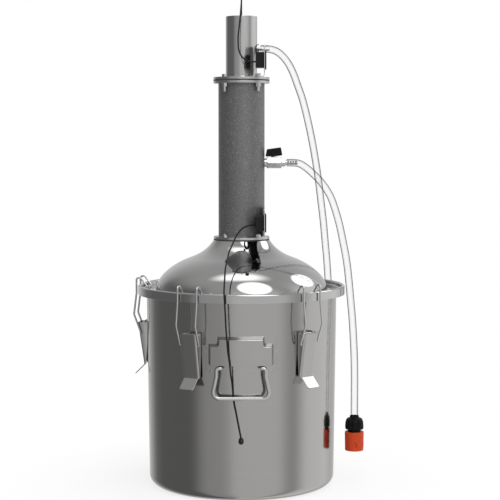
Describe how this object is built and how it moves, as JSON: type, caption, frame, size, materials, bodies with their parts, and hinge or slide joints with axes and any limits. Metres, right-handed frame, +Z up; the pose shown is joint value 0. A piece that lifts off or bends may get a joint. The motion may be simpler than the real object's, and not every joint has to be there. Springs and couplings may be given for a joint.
{
  "type": "modular still",
  "caption": "Bench still with a clamped steel pot, a domed lid, a bolted column with a water valve and hoses, a head tube and thermometers.",
  "frame": {"origin": "on the axis of the pot, where it stands on the bench", "axes": "+Z up the axis of the pot and column, -Y towards the front handle, +X towards the water valve"},
  "size_m": [0.3775, 0.498, 0.7962],
  "materials": {
    "pot_steel": "satin, brushed round the pot",
    "lid_steel": "polished dome, satin collar",
    "plain_steel": "satin",
    "fastener_steel": "bright",
    "column_coat": "fine grey hammered coat",
    "gasket": "matt",
    "stopper": "matt",
    "black_plastic": "satin",
    "display": "glossy window",
    "valve_metal": "plated",
    "clear_hose": "clear, glossy",
    "orange_plastic": "satin",
    "cord_sheath": "black sheath"
  },
  "bodies": {
    "still_body": {"pot_shell": "pot_steel", "rim_gasket": "gasket", "dome_lid": "lid_steel", "neck_gasket": "gasket", "neck_studs": "fastener_steel", "neck_nuts": "fastener_steel", "column_tube": "column_coat", "column_lower_flange": "plain_steel", "column_upper_flange": "plain_steel", "head_gasket": "gasket", "head_flange": "plain_steel", "head_tube": "plain_steel", "head_bolts": "fastener_steel", "head_nuts": "fastener_steel", "head_nipple": "plain_steel", "head_stopper": "stopper", "probe_sleeve": "plain_steel", "lower_bracket": "plain_steel", "lower_case": "black_plastic", "lower_window": "display", "upper_bracket": "plain_steel", "upper_case": "black_plastic", "upper_window": "display", "valve_body": "valve_metal", "outlet_nipple": "plain_steel", "packing_plates": "plain_steel", "packing_rod": "plain_steel", "cooling_coil": "plain_steel", "drain_hose": "clear_hose", "drain_hose_coil": "clear_hose", "supply_hose": "clear_hose", "connector_nut": "black_plastic", "connector_body": "black_plastic", "lower_probe_cord": "cord_sheath", "lower_probe_bead": "black_plastic", "upper_probe_cord": "cord_sheath", "front_hood": "plain_steel", "rear_hood": "plain_steel", "latch_bases": "plain_steel", "latch_pins": "plain_steel"},
    "front_bail": {"front_bail": "plain_steel"},
    "rear_bail": {"rear_bail": "plain_steel"},
    "valve_handle": {"valve_ball": "valve_metal", "valve_stem": "valve_metal", "valve_lever": "black_plastic"},
    "connector_sleeve": {"connector_sleeve": "orange_plastic"},
    "latch_lever_1": {"latch_lever_1": "plain_steel"},
    "latch_link_1": {"latch_link_1": "plain_steel"},
    "latch_lever_2": {"latch_lever_2": "plain_steel"},
    "latch_link_2": {"latch_link_2": "plain_steel"},
    "latch_lever_3": {"latch_lever_3": "plain_steel"},
    "latch_link_3": {"latch_link_3": "plain_steel"},
    "latch_lever_4": {"latch_lever_4": "plain_steel"},
    "latch_link_4": {"latch_link_4": "plain_steel"},
    "latch_lever_5": {"latch_lever_5": "plain_steel"},
    "latch_link_5": {"latch_link_5": "plain_steel"}
  },
  "joints": [
    {"name": "latch_open_1", "type": "hinge", "parent": "still_body", "child": "latch_lever_1", "pos_m": [-0.15874, 0.01949, 0.261], "axis": [0.1219, 0.9925, 0], "range_deg": [0, 105]},
    {"name": "latch_hook_1", "type": "hinge", "parent": "latch_lever_1", "child": "latch_link_1", "pos_m": [-0.16271, 0.01998, 0.2445], "axis": [0.1219, 0.9925, 0], "range_deg": [-105, 0]},
    {"name": "latch_open_2", "type": "hinge", "parent": "still_body", "child": "latch_lever_2", "pos_m": [-0.07754, -0.13988, 0.261], "axis": [-0.8746, 0.4848, 0], "range_deg": [0, 105]},
    {"name": "latch_hook_2", "type": "hinge", "parent": "latch_lever_2", "child": "latch_link_2", "pos_m": [-0.07948, -0.14338, 0.2445], "axis": [-0.8746, 0.4848, 0], "range_deg": [-105, 0]},
    {"name": "latch_open_3", "type": "hinge", "parent": "still_body", "child": "latch_lever_3", "pos_m": [0.1028, -0.12251, 0.261], "axis": [-0.766, -0.6428, 0], "range_deg": [0, 105]},
    {"name": "latch_hook_3", "type": "hinge", "parent": "latch_lever_3", "child": "latch_link_3", "pos_m": [0.10537, -0.12558, 0.2445], "axis": [-0.766, -0.6428, 0], "range_deg": [-105, 0]},
    {"name": "latch_open_4", "type": "hinge", "parent": "still_body", "child": "latch_lever_4", "pos_m": [0.09173, 0.13101, 0.261], "axis": [0.8192, -0.5736, 0], "range_deg": [0, 105]},
    {"name": "latch_hook_4", "type": "hinge", "parent": "latch_lever_4", "child": "latch_link_4", "pos_m": [0.09403, 0.13428, 0.2445], "axis": [0.8192, -0.5736, 0], "range_deg": [-105, 0]},
    {"name": "latch_open_5", "type": "hinge", "parent": "still_body", "child": "latch_lever_5", "pos_m": [-0.09173, 0.13101, 0.261], "axis": [0.8192, 0.5736, 0], "range_deg": [0, 105]},
    {"name": "latch_hook_5", "type": "hinge", "parent": "latch_lever_5", "child": "latch_link_5", "pos_m": [-0.09403, 0.13428, 0.2445], "axis": [0.8192, 0.5736, 0], "range_deg": [-105, 0]},
    {"name": "front_bail_swing", "type": "hinge", "parent": "still_body", "child": "front_bail", "pos_m": [0, -0.16112, 0.212], "axis": [-1, 0, 0], "range_deg": [0, 90]},
    {"name": "rear_bail_swing", "type": "hinge", "parent": "still_body", "child": "rear_bail", "pos_m": [0, 0.16112, 0.212], "axis": [1, 0, 0], "range_deg": [0, 90]},
    {"name": "valve_turn", "type": "hinge", "parent": "still_body", "child": "valve_handle", "pos_m": [0.0525, 0, 0.525], "axis": [0, 0, 1], "range_deg": [0, 90]},
    {"name": "sleeve_slide", "type": "slide", "parent": "still_body", "child": "connector_sleeve", "axis": [0, 0, 1], "range_m": [0, 0.003], "stiffness_N_per_m": 600, "springref_m": -0.002}
  ],
  "couplings": [
    {"joint": "latch_hook_1", "follows": "latch_open_1", "ratio": -1},
    {"joint": "latch_hook_2", "follows": "latch_open_2", "ratio": -1},
    {"joint": "latch_hook_3", "follows": "latch_open_3", "ratio": -1},
    {"joint": "latch_hook_4", "follows": "latch_open_4", "ratio": -1},
    {"joint": "latch_hook_5", "follows": "latch_open_5", "ratio": -1}
  ]
}
